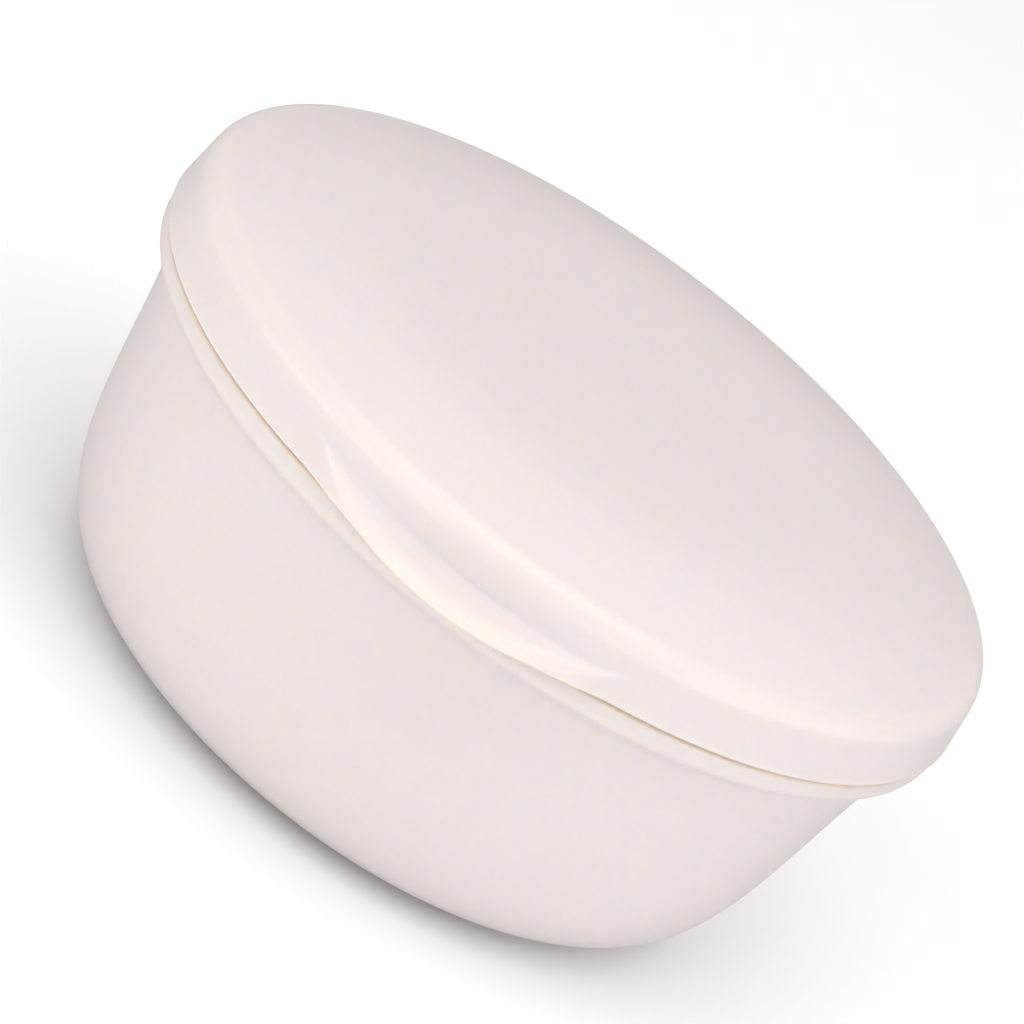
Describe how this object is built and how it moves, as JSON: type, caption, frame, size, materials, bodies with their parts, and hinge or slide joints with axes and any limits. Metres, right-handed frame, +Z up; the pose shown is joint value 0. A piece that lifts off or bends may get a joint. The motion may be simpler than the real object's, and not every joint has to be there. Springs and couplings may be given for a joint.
{
  "type": "shaving bowl",
  "caption": "Round lidded lather bowl in glossy cream-white plastic: tapered bowl with a flanged rim and a domed lift-off lid with a crescent finger lip.",
  "frame": {"origin": "on the axis of the bowl, on the plane of its flat base", "axes": "+Z up along the axis of the bowl, towards the lid; the lid's finger lip faces -Y; +X to the right seen from the lip's side"},
  "size_m": [0.1148, 0.1201, 0.055],
  "materials": {
    "bowl_plastic": "cream-white injection-moulded plastic, polished mould finish, very smooth, slightly translucent at thin edges",
    "lid_plastic": "the same cream-white plastic as the bowl, polished, with soft broad highlights on the rounded edge"
  },
  "bodies": {
    "bowl": {"bowl": "bowl_plastic"},
    "lid": {"lid": "lid_plastic"}
  },
  "joints": [
    {"name": "lid_lift", "type": "slide", "parent": "bowl", "child": "lid", "axis": [0, 0, 1], "range_m": [0, 0.05]}
  ]
}
